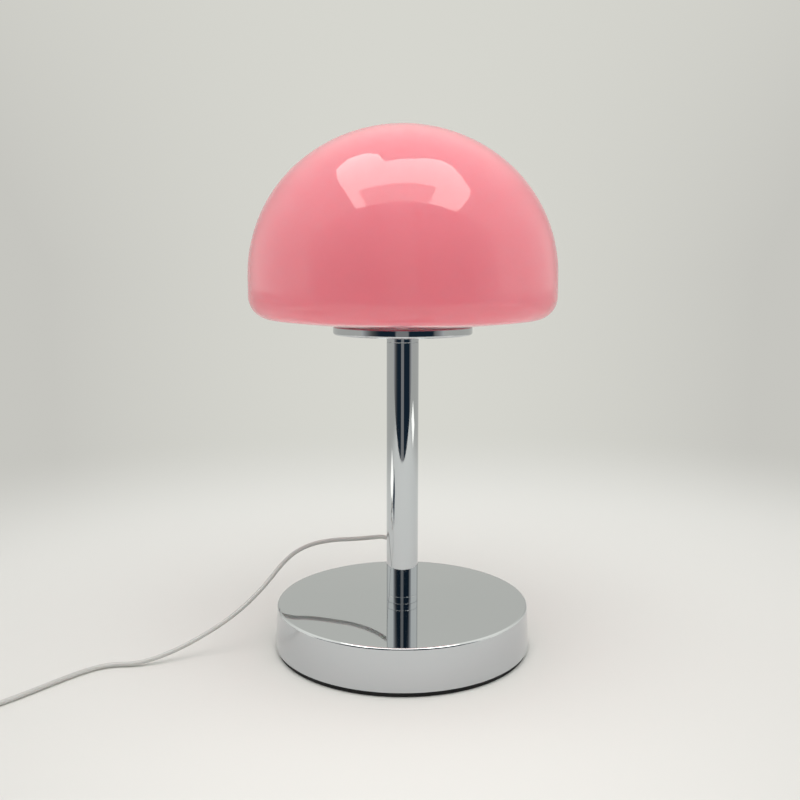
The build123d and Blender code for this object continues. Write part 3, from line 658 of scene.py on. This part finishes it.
def makeShadePlate():
    low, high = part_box("shade_plate")
    top = low.z + plate["thickness"]
    ringInside = plate["ringRadius"] - plate["ringWall"]
    bm = turnedSolid(
        [
            (plate["bore"], low.z),
            (plate["radius"], low.z),
            (plate["radius"], top),
            (plate["ringRadius"], top),
            (plate["ringRadius"], high.z),
            (ringInside, high.z),
            (ringInside, top),
            (plate["bore"], top),
        ],
        plate["steps"],
    )
    roundEdges(bm, sharpEdges(bm, x=plate["radius"], z=low.z), plate["lowerRound"], segments=8)
    roundEdges(bm, sharpEdges(bm, x=plate["radius"], z=top), plate["upperBevel"], segments=1)
    roundEdges(bm, sharpEdges(bm, z=high.z), plate["ringEdge"], segments=2)
    return makePiece("shadePlate", bm, "stand", "chromePlate", ["shade_plate"])


gasket = {"inside": 37.1 * mm, "edgeRound": 0.15 * mm}


def makeGasket():
    low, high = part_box("shade_gasket")
    inside = gasket["inside"]
    corners = [(inside, low.z), (high.x, low.z), (high.x, high.z), (inside, high.z)]
    bm = turnedSolid(corners, plate["steps"])
    roundEdges(bm, sharpEdges(bm, x=high.x), gasket["edgeRound"], segments=3)
    return makePiece("shadeGasket", bm, "stand", "clearSilicone", ["shade_gasket"])


stem = {"radius": 10.6 * mm, "bore": 9.6 * mm, "spigot": 9.55 * mm, "edgeBreak": 0.3 * mm, "steps": 96}


def makeCollar(name, node, seatHeight, bore):
    # the collar's outer length ends at seatHeight, where its spigot goes into the tube
    low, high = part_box(node)
    end = low.z if seatHeight > (low.z + high.z) / 2 else high.z
    far = low.z if end == high.z else high.z
    corners = [
        (bore, far),
        (stem["radius"], far),
        (stem["radius"], seatHeight),
        (stem["spigot"], seatHeight),
        (stem["spigot"], end),
        (bore, end),
    ]
    bm = turnedSolid(corners, stem["steps"])
    roundEdges(bm, sharpEdges(bm, x=stem["radius"]), stem["edgeBreak"], segments=2)
    return makePiece(name, bm, "stand", "chromePlate", [node])


def makeStemTube():
    low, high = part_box("stem_tube")
    bm = turnedSolid(
        [
            (stem["bore"], low.z),
            (stem["radius"], low.z),
            (stem["radius"], high.z),
            (stem["bore"], high.z),
        ],
        stem["steps"],
    )
    roundEdges(bm, sharpEdges(bm, x=stem["radius"]), stem["edgeBreak"], segments=2)
    return makePiece("stemTube", bm, "stand", "chromePlate", ["stem_tube"])


cover = {
    "topRadius": 84.5 * mm,
    "wall": 1 * mm,
    "shoulderRound": 1.3 * mm,
    "lipRound": 0.25 * mm,
    "bore": 4.05 * mm,
    "steps": 192,
}


def makeBaseCover():
    low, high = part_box("base_cover")
    under = high.z - cover["wall"]
    bm = turnedSolid(
        [
            (cover["bore"], high.z),
            (cover["topRadius"], high.z),
            (high.x, low.z),
            (high.x - cover["wall"], low.z),
            (cover["topRadius"] - cover["wall"], under),
            (cover["bore"], under),
        ],
        cover["steps"],
    )
    roundEdges(bm, sharpEdges(bm, x=cover["topRadius"], z=high.z), cover["shoulderRound"], segments=8)
    roundEdges(bm, sharpEdges(bm, z=low.z), cover["lipRound"], segments=2)
    return makePiece("baseCover", bm, "stand", "chromePlate", ["base_cover"])


padRound = 0.3 * mm


def makeFootPad():
    low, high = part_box("foot_pad")
    bm = bmesh.new()
    bmesh.ops.create_circle(bm, cap_ends=True, radius=high.x, segments=cover["steps"])
    bmesh.ops.translate(bm, verts=bm.verts[:], vec=(0, 0, low.z))
    sole = bmesh.ops.extrude_face_region(bm, geom=bm.faces[:])
    raised = [part for part in sole["geom"] if isinstance(part, bmesh.types.BMVert)]
    bmesh.ops.translate(bm, verts=raised, vec=(0, 0, high.z - low.z))
    bmesh.ops.recalc_face_normals(bm, faces=bm.faces[:])
    roundEdges(bm, sharpEdges(bm, z=low.z), padRound, segments=3)
    roundEdges(bm, sharpEdges(bm, z=high.z), padRound, segments=3)
    return makePiece("footPad", bm, "stand", "foamRubber", ["foot_pad"])


makeShadePlate()
makeGasket()
makeCollar("topFerrule", "top_ferrule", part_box("stem_tube")[1].z, plate["bore"])
makeStemTube()
makeCollar("stemFoot", "stem_foot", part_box("stem_tube")[0].z, cover["bore"])
makeBaseCover()
makeFootPad()
print("plate, stem and base made")


# cord grommet, turned on its own axis and swung to where the cord leaves the stem

grommet = {
    "flangeRadius": 4.2 * mm,
    "flangeThickness": 1.4 * mm,
    "holeRadius": 2.95 * mm,
    "noseTipRadius": 2.4 * mm,
    "bore": 1.55 * mm,
    "lipRadius": 3.5 * mm,
    "lipBase": 7.64 * mm,
    "lipThickness": 1.2 * mm,
    "play": 0.05 * mm,
    "flangeRound": 0.4 * mm,
    "noseRound": 0.3 * mm,
    "steps": 48,
}


def makeGrommet():
    saddle = stem["radius"] + grommet["play"]
    flangeTop = stem["radius"] + grommet["flangeThickness"]
    lipTop = grommet["lipBase"] + grommet["lipThickness"]
    bm = turnedSolid(
        [
            (grommet["bore"], grommet["lipBase"]),
            (grommet["lipRadius"], grommet["lipBase"]),
            (grommet["lipRadius"], lipTop),
            (grommet["holeRadius"], lipTop),
            (grommet["holeRadius"], saddle),
            (grommet["flangeRadius"], saddle),
            (grommet["flangeRadius"], flangeTop),
            (grommet["holeRadius"], flangeTop),
            (grommet["noseTipRadius"], cord["noseTip"]),
            (grommet["bore"], cord["noseTip"]),
        ],
        grommet["steps"],
    )
    # the flange's underside follows the round stem
    for vert in bm.verts:
        if abs(vert.co.z - saddle) < grommet["play"] / 2:
            vert.co.z = math.sqrt(saddle**2 - vert.co.x**2)
    roundEdges(bm, sharpEdges(bm, x=grommet["flangeRadius"], z=flangeTop), grommet["flangeRound"], 3)
    roundEdges(bm, sharpEdges(bm, x=grommet["noseTipRadius"]), grommet["noseRound"], 3)
    outward = Matrix.Rotation(math.radians(cord["exitAngle"] - 90), 4, "Z") @ Matrix.Rotation(
        math.radians(-90), 4, "X"
    )
    bmesh.ops.transform(bm, matrix=outward, verts=bm.verts[:])
    bmesh.ops.translate(bm, verts=bm.verts[:], vec=(0, 0, cord["exitHeight"]))
    return makePiece("cordGrommet", bm, "stand", "vinylJacket", ["cord_grommet"])


makeGrommet()


# light engine, seen when the shade is lifted

light = {
    "holderWall": 1.8 * mm,
    "holderFloor": 2 * mm,
    "holderRound": 0.4 * mm,
    "diffuserWall": 1.4 * mm,
    "diffuserRound": 9 * mm,
    "arcSteps": 12,
    "steps": 96,
}


def makeLedHolder():
    low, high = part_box("led_holder")
    inside = high.x - light["holderWall"]
    floorTop = low.z + light["holderFloor"]
    bm = turnedSolid(
        [
            (plate["bore"], low.z),
            (high.x, low.z),
            (high.x, high.z),
            (inside, high.z),
            (inside, floorTop),
            (plate["bore"], floorTop),
        ],
        light["steps"],
    )
    roundEdges(bm, sharpEdges(bm, x=high.x), light["holderRound"], segments=3)
    return makePiece("ledHolder", bm, "stand", "mouldedWhite", ["led_holder"])


def makeLedDiffuser():
    low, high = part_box("led_diffuser")
    wall, curve = light["diffuserWall"], light["diffuserRound"]
    bm, outer = startProfile(high.x, low.z)
    inner = lineTo(bm, outer, high.x - wall, low.z)
    last = lineTo(bm, outer, high.x, high.z - curve)
    last = arcRound(bm, last, high.x - curve, high.z - curve, 90, light["arcSteps"])
    lineTo(bm, last, 0, high.z)
    last = lineTo(bm, inner, high.x - wall, high.z - curve)
    last = arcRound(bm, last, high.x - curve, high.z - curve, 90, light["arcSteps"])
    lineTo(bm, last, 0, high.z - wall)
    turned(bm, light["steps"])
    return makePiece("ledDiffuser", bm, "stand", "opalPlastic", ["led_diffuser"])


makeLedHolder()
makeLedDiffuser()
print("grommet and light engine made")


# carried-over nodes keep their shape and take their finish

nodeFinishes = {
    "castIron": ["base_weight"],
    "blackCoat": ["base_plate"],
    "zincPlate": [
        "base_screws",
        "base_washer",
        "base_bolt",
        "top_nipple",
        "top_washer",
        "top_nut",
        "board_screws",
        "rocker_pin",
        "switch_screws",
    ],
    "boardMask": ["led_board"],
    "chipPhosphor": ["led_chips"],
    "redInsulation": ["led_wires"],
    "vinylJacket": ["cord_inside", "switch_wiring"],
    "mouldedWhite": [
        "cord_tie",
        "plug_grip",
        "plug_tongue",
        "switch_lower_shell",
        "switch_upper_shell",
        "switch_rocker",
    ],
    "nickelPlate": ["plug_shell"],
    "contactBrass": ["switch_contacts", "plug_contacts"],
    "strapWeave": ["coil_band"],
}
for finish, nodeNames in nodeFinishes.items():
    for nodeName in nodeNames:
        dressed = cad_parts[nodeName].data
        dressed.materials.clear()
        dressed.materials.append(materials[finish])

cordRoute()[0]


# studio: pale table that runs into a pale backdrop, a large soft light and a window overhead

studio = {
    "table": "#DDDDD8",
    "backdrop": "#D6D6CF",
    "backdropShadedEdge": "#B4B3AF",  # painted shade, out to the sides
    "sideFall": (4, 0.4),  # how fast painted shade darkens the backdrop to the sides, at the horizon and higher up
    "sideFallTop": 0.45,  # how high up that is, as the Z of a direction
    "mostFall": 0.5,  # never more than this share of the edge's tone
    "tableBounce": "#F4F4F0",  # painted bounce light: what diffuse rays see of the table, brighter than its own colour, given back to the lamp
    "tableShadeFall": 1.4,  # how fast painted shade darkens the table to the sides, for the camera only
    "fallStart": (0.08, 0.36),  # metres from the point under the eye, over which that sets in
    "eye": (0, -0.611, 0),
    "tableEdge": 8,  # metres from the middle
    "tableMiddle": (0.06, -0.35, 0),  # the table fades into the backdrop with distance from here
    "tableReach": (0.7, 1.25),  # metres, where that starts and ends
    "tableNarrow": (1.3, 1, 1),  # the reach is shorter across than along
    "fill": 0.78,  # of the room's light, where 1 is white
    "fillBehindCamera": 0.4,
    "behind": (-1, -0.35),  # directions that count as behind it, along Y
    "walls": 1.8,  # walls and ceiling show in gloss, and only there, as the backdrop times this
    "wallStart": (0.5, 0.8),
    "ceilingStart": (0.35, 0.7),
    "lightHeight": 1.5,
    "lightX": (-0.8, 1.0),
    "lightY": (-1.2, 0.2),
    "lightPower": 16.5,
    "windowGlow": 5.2,
    "windowTone": "#FFFDF5",
    "insetX": (-0.6, 0.43),
    "insetY": (-1.2, -0.46),
    "insetGlow": 2.3,
    "insetDrop": 0.01,  # below the window
    "glintGlow": 1.8,
    "shadeGlow": 2,
    "roomY": -0.625,
    "roomX": (-1.6, 1.6),
    "roomFoot": -0.02,
    "roomRise": 0.35,  # the height where it starts to pale upwards
    "roomTop": 1.1,
    "roomTopTone": 0.6,
    "roomTone": "#1C2B38",
}

# the window's outline seen from below, a light well with one corner cut and a beam across its back;
# a program traced most of these points back from the reflection in the photographed glass
windowOutline = [
    (-0.83, -1.32),
    (0.01, -1.31),
    (0.98, -1.1),
    (1.0, -0.42),
    (0.92, -0.19),
    (0.73, -0.04),
    (0.52, 0.14),
    (0.36, 0.17),
    (0.07, 0.07),
    (-0.19, 0.03),
    (-0.24, 0.26),
    (-0.36, 0.36),
    (-0.54, 0.4),
    (-0.74, 0.27),
    (-0.8, 0.05),
]


def stagePlane(name, corners, material):
    bm = bmesh.new()
    bm.faces.new([bm.verts.new(corner) for corner in corners])
    mesh = bpy.data.meshes.new(name)
    bm.to_mesh(mesh)
    bm.free()
    mesh.materials.append(material)
    piece = bpy.data.objects.new(name, mesh)
    bpy.context.scene.collection.objects.link(piece)
    return piece


def bareMaterial(name):
    material = bpy.data.materials.new(name)
    material.use_nodes = True
    tree = material.node_tree
    tree.nodes.clear()
    return material, tree


def glowMaterial(name, hexColour, strength):
    material, tree = bareMaterial(name)
    glow = addNode(tree, "ShaderNodeEmission", {"Color": toLinear(hexColour), "Strength": strength})
    addNode(tree, "ShaderNodeOutputMaterial", {}, {"Surface": glow.outputs[0]})
    return material


def glossCard(name, corners, material):
    # a card that shows in reflections and nowhere else
    card = stagePlane(name, corners, material)
    card.visible_camera = False
    card.visible_diffuse = False
    card.visible_shadow = False
    card.visible_transmission = False
    return card


def seenByEye(tree):
    # camera, glossy and transmission rays see the backdrop's own colour
    ways = addNode(tree, "ShaderNodeLightPath").outputs
    either = {"operation": "MAXIMUM"}
    seen = addNode(tree, "ShaderNodeMath", either, {0: ways["Is Camera Ray"], 1: ways["Is Glossy Ray"]})
    through = ways["Is Transmission Ray"]
    return addNode(tree, "ShaderNodeMath", either, {0: seen.outputs[0], 1: through}).outputs[0]


def backdropTone(tree, direction):
    # painted shade: palest straight ahead, darker out to the sides, most of all at the horizon
    parts = addNode(tree, "ShaderNodeSeparateXYZ", {}, {0: direction}).outputs
    aside = addNode(tree, "ShaderNodeMath", {"operation": "MULTIPLY"}, {0: parts["X"], 1: parts["X"]})
    atHorizon, higherUp = studio["sideFall"]
    heights = {"From Min": 0, "From Max": studio["sideFallTop"], "To Min": atHorizon, "To Max": higherUp}
    low = addNode(tree, "ShaderNodeMapRange", heights, {0: parts["Z"]})
    shadeFall = addNode(
        tree, "ShaderNodeMath", {"operation": "MULTIPLY"}, {0: aside.outputs[0], 1: low.outputs[0]}
    )
    most = {"operation": "MINIMUM", 1: studio["mostFall"]}
    share = addNode(tree, "ShaderNodeMath", most, {0: shadeFall.outputs[0]})
    return addNode(
        tree,
        "ShaderNodeMix",
        {"data_type": "RGBA", 6: toLinear(studio["backdrop"]), 7: toLinear(studio["backdropShadedEdge"])},
        {0: share.outputs[0]},
    ).outputs[2]


def makeWorld():
    world = bpy.data.worlds.new("studio")
    world.use_nodes = True
    bpy.context.scene.world = world
    tree = world.node_tree
    tree.nodes.clear()
    direction = addNode(tree, "ShaderNodeTexCoord").outputs["Generated"]
    parts = addNode(tree, "ShaderNodeSeparateXYZ", {}, {0: direction}).outputs
    smooth = {"interpolation_type": "SMOOTHSTEP"}
    aside = addNode(tree, "ShaderNodeMath", {"operation": "ABSOLUTE"}, {0: parts["X"]})
    walls = {**smooth, 1: studio["wallStart"][0], 2: studio["wallStart"][1]}
    wall = addNode(tree, "ShaderNodeMapRange", walls, {0: aside.outputs[0]})
    overhead = {**smooth, 1: studio["ceilingStart"][0], 2: studio["ceilingStart"][1]}
    ceiling = addNode(tree, "ShaderNodeMapRange", overhead, {0: parts["Z"]})
    room = addNode(
        tree, "ShaderNodeMath", {"operation": "MAXIMUM"}, {0: wall.outputs[0], 1: ceiling.outputs[0]}
    )
    ways = addNode(tree, "ShaderNodeLightPath").outputs
    inGloss = addNode(
        tree, "ShaderNodeMath", {"operation": "MULTIPLY"}, {0: room.outputs[0], 1: ways["Is Glossy Ray"]}
    )
    level = addNode(tree, "ShaderNodeMapRange", {3: 1, 4: studio["walls"]}, {0: inGloss.outputs[0]})
    backdrop = addNode(
        tree, "ShaderNodeBackground", {}, {0: backdropTone(tree, direction), 1: level.outputs[0]}
    )
    back, side = studio["behind"]
    lit = addNode(
        tree,
        "ShaderNodeMapRange",
        {**smooth, 1: back, 2: side, 3: studio["fillBehindCamera"], 4: studio["fill"]},
        {0: parts["Y"]},
    )
    fill = addNode(tree, "ShaderNodeBackground", {"Color": (1, 1, 1, 1)}, {1: lit.outputs[0]})
    mix = addNode(
        tree, "ShaderNodeMixShader", {}, {0: seenByEye(tree), 1: fill.outputs[0], 2: backdrop.outputs[0]}
    )
    addNode(tree, "ShaderNodeOutputWorld", {}, {"Surface": mix.outputs[0]})


def makeTable():
    # behind the lamp the table stops taking shadows and runs into the backdrop
    material, tree = bareMaterial("tableTop")
    place = addNode(tree, "ShaderNodeTexCoord").outputs["Object"]
    out = addNode(
        tree, "ShaderNodeVectorMath", {"operation": "SUBTRACT", 1: studio["tableMiddle"]}, {0: place}
    )
    narrowed = {"operation": "MULTIPLY", 1: studio["tableNarrow"]}
    wide = addNode(tree, "ShaderNodeVectorMath", narrowed, {0: out.outputs[0]})
    reach = addNode(tree, "ShaderNodeVectorMath", {"operation": "LENGTH"}, {0: wide.outputs[0]})
    far = addNode(
        tree,
        "ShaderNodeMapRange",
        {"interpolation_type": "SMOOTHSTEP", 1: studio["tableReach"][0], 2: studio["tableReach"][1]},
        {0: reach.outputs["Value"]},
    )
    share = addNode(
        tree, "ShaderNodeMath", {"operation": "MULTIPLY"}, {0: far.outputs[0], 1: seenByEye(tree)}
    )
    # painted shade: seen by the camera, the table darkens to the sides, away from the point under the eye
    fromEye = addNode(tree, "ShaderNodeVectorMath", {"operation": "SUBTRACT", 1: studio["eye"]}, {0: place})
    direction = addNode(tree, "ShaderNodeVectorMath", {"operation": "NORMALIZE"}, {0: fromEye.outputs[0]})
    parts = addNode(tree, "ShaderNodeSeparateXYZ", {}, {0: direction.outputs[0]}).outputs
    aside = addNode(tree, "ShaderNodeMath", {"operation": "MULTIPLY"}, {0: parts["X"], 1: parts["X"]})
    ways = addNode(tree, "ShaderNodeLightPath").outputs
    seen = addNode(
        tree, "ShaderNodeMath", {"operation": "MULTIPLY", 1: studio["tableShadeFall"]}, {0: ways["Is Camera Ray"]}
    )
    distance = addNode(tree, "ShaderNodeVectorMath", {"operation": "LENGTH"}, {0: fromEye.outputs[0]})
    begun = addNode(
        tree,
        "ShaderNodeMapRange",
        {"interpolation_type": "SMOOTHSTEP", 1: studio["fallStart"][0], 2: studio["fallStart"][1]},
        {0: distance.outputs["Value"]},
    )
    most = addNode(
        tree, "ShaderNodeMath", {"operation": "MULTIPLY"}, {0: seen.outputs[0], 1: begun.outputs[0]}
    )
    shadeFall = addNode(
        tree, "ShaderNodeMath", {"operation": "MULTIPLY"}, {0: aside.outputs[0], 1: most.outputs[0]}
    )
    tone = addNode(
        tree,
        "ShaderNodeMix",
        {"data_type": "RGBA", 6: toLinear(studio["table"]), 7: toLinear(studio["backdropShadedEdge"])},
        {0: shadeFall.outputs[0]},
    )
    # painted bounce light: diffuse rays see the table in the brighter bounce tone
    paintedBounce = addNode(
        tree,
        "ShaderNodeMix",
        {"data_type": "RGBA", 7: toLinear(studio["tableBounce"])},
        {0: ways["Is Diffuse Ray"], 6: tone.outputs[2]},
    )
    paint = addNode(tree, "ShaderNodeBsdfDiffuse", {}, {"Color": paintedBounce.outputs[2]})
    glow = addNode(tree, "ShaderNodeEmission", {}, {"Color": backdropTone(tree, direction.outputs[0])})
    mix = addNode(
        tree, "ShaderNodeMixShader", {}, {0: share.outputs[0], 1: paint.outputs[0], 2: glow.outputs[0]}
    )
    addNode(tree, "ShaderNodeOutputMaterial", {}, {"Surface": mix.outputs[0]})
    edge = studio["tableEdge"]
    stagePlane("table", [(-edge, -edge, 0), (edge, -edge, 0), (edge, edge, 0), (-edge, edge, 0)], material)


def makeDarkRoom():
    # a card seen only in reflections, painting the room behind the camera dark, with a pale post in the
    # middle, paling out to the sides
    material, tree = bareMaterial("darkRoom")
    place = addNode(tree, "ShaderNodeTexCoord").outputs["Object"]
    parts = addNode(tree, "ShaderNodeSeparateXYZ", {}, {0: place}).outputs
    left, right = studio["roomX"]
    across = addNode(tree, "ShaderNodeMapRange", {1: left, 2: right}, {0: parts["X"]})
    ramp = addNode(tree, "ShaderNodeValToRGB", {}, {0: across.outputs[0]})
    dark = toLinear(studio["roomTone"])
    tones = [
        (left, 0.6),
        (-1.1, 0.33),
        (-0.7, 0.1),
        (-0.46, dark),
        (-0.13, dark),
        (-0.11, 0.27),
        (0.09, 0.27),
        (0.11, dark),
        (0.7, dark),
        (0.8, 0.2),
        (right, 0.6),
    ]
    stops = ramp.color_ramp.elements
    for spot, grey in tones[1:-1]:
        stops.new((spot - left) / (right - left))
    for stop, (spot, grey) in zip(stops, tones):
        stop.color = grey if grey is dark else (grey, grey, grey, 1)
    rise = addNode(
        tree,
        "ShaderNodeMapRange",
        {1: studio["roomRise"], 2: studio["roomTop"], 3: 0, 4: studio["roomTopTone"]},
        {0: parts["Z"]},
    )
    tone = addNode(
        tree,
        "ShaderNodeMix",
        {"data_type": "RGBA", 7: (1, 1, 1, 1)},
        {0: rise.outputs[0], 6: ramp.outputs[0]},
    )
    glow = addNode(tree, "ShaderNodeEmission", {}, {0: tone.outputs[2]})
    addNode(tree, "ShaderNodeOutputMaterial", {}, {"Surface": glow.outputs[0]})
    y, foot, top = studio["roomY"], studio["roomFoot"], studio["roomTop"]
    glossCard("darkRoom", [(left, y, foot), (right, y, foot), (right, y, top), (left, y, top)], material)


def makeTableGlints():
    # glowing cards low beside the lamp, seen only in reflections, which paint thin highlight spindles and
    # one dark spindle on the stem
    glint = glowMaterial("tableGlint", studio["windowTone"], studio["glintGlow"])
    shade = glowMaterial("tableShade", studio["roomTone"], studio["shadeGlow"])
    for name, x, ys, zs, material in (
        ("leftGlint", -0.4, (-0.16, 0.03), (-0.015, 0.06), glint),
        ("rightGlint", 0.6, (-0.25, 0.05), (0.022, 0.085), glint),
        ("leftShade", -0.23, (-0.165, -0.08), (0.012, 0.072), shade),
    ):
        middle, level = sum(ys) / 2, sum(zs) / 2
        corners = [(x, ys[0], level), (x, middle, zs[0]), (x, ys[1], level), (x, middle, zs[1])]
        glossCard(name, corners, material)


def makeLights():
    xs, ys, height = studio["lightX"], studio["lightY"], studio["lightHeight"]
    lamp = bpy.data.lights.new("softLight", "AREA")
    lamp.shape = "RECTANGLE"
    lamp.size = xs[1] - xs[0]
    lamp.size_y = ys[1] - ys[0]
    lamp.energy = studio["lightPower"]
    holder = bpy.data.objects.new("softLight", lamp)
    holder.location = (sum(xs) / 2, sum(ys) / 2, height)
    bpy.context.scene.collection.objects.link(holder)
    holder.visible_camera = False
    holder.visible_glossy = False
    window = [(x, y, height) for x, y in windowOutline]
    glossCard("window", window, glowMaterial("windowGlow", studio["windowTone"], studio["windowGlow"]))
    (left, right), (front, back) = studio["insetX"], studio["insetY"]
    level = height - studio["insetDrop"]
    inset = [(x, y, level) for x, y in ((left, front), (right, front), (right, back), (left, back))]
    glossCard("windowInset", inset, glowMaterial("insetGlow", studio["windowTone"], studio["insetGlow"]))


makeWorld()
makeTable()
makeDarkRoom()
makeTableGlints()
makeLights()
bpy.context.scene.view_settings.view_transform = "Standard"
print("studio set")
